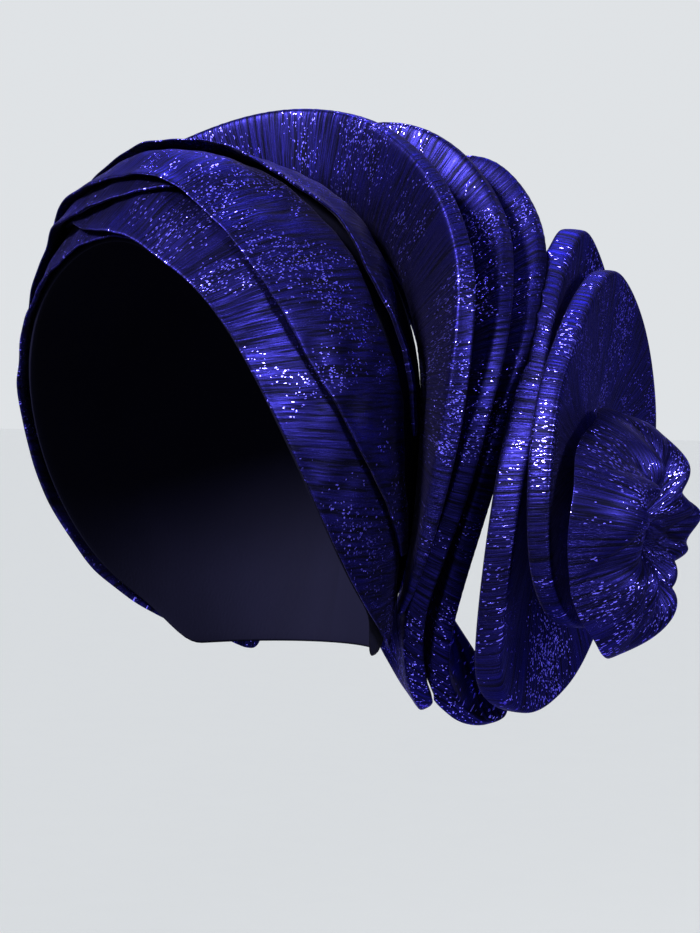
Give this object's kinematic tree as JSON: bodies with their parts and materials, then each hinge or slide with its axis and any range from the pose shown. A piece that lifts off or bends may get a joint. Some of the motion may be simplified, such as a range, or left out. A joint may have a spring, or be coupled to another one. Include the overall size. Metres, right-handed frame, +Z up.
{
  "type": "tied gele head tie",
  "caption": "Ready-tied turban head wrap of stiff shiny cloth with crossing front pleats, standing padded rings and a rosette at the left back.",
  "frame": {"origin": "middle of the hollow for the head, at brow height, on the plane between its two sides", "axes": "+Z up, -Y the way the face looks, +X toward the wearer's left, where the rosette is"},
  "size_m": [0.2961, 0.2508, 0.2742],
  "materials": {
    "crown_cloth": "plain dark navy cloth with a low sheen",
    "lame_cloth": "navy metallic lame with fine cross ribs and glitter"
  },
  "bodies": {
    "root": {"crown_cap": "crown_cloth", "right_band_1": "lame_cloth", "left_band_1": "lame_cloth", "right_band_2": "lame_cloth", "left_band_2": "lame_cloth", "left_band_3": "lame_cloth", "ring_front": "lame_cloth", "ring_middle": "lame_cloth", "ring_back": "lame_cloth", "rosette_ring_outer": "lame_cloth", "rosette_ring_inner": "lame_cloth", "rose": "lame_cloth"}
  },
  "joints": []
}
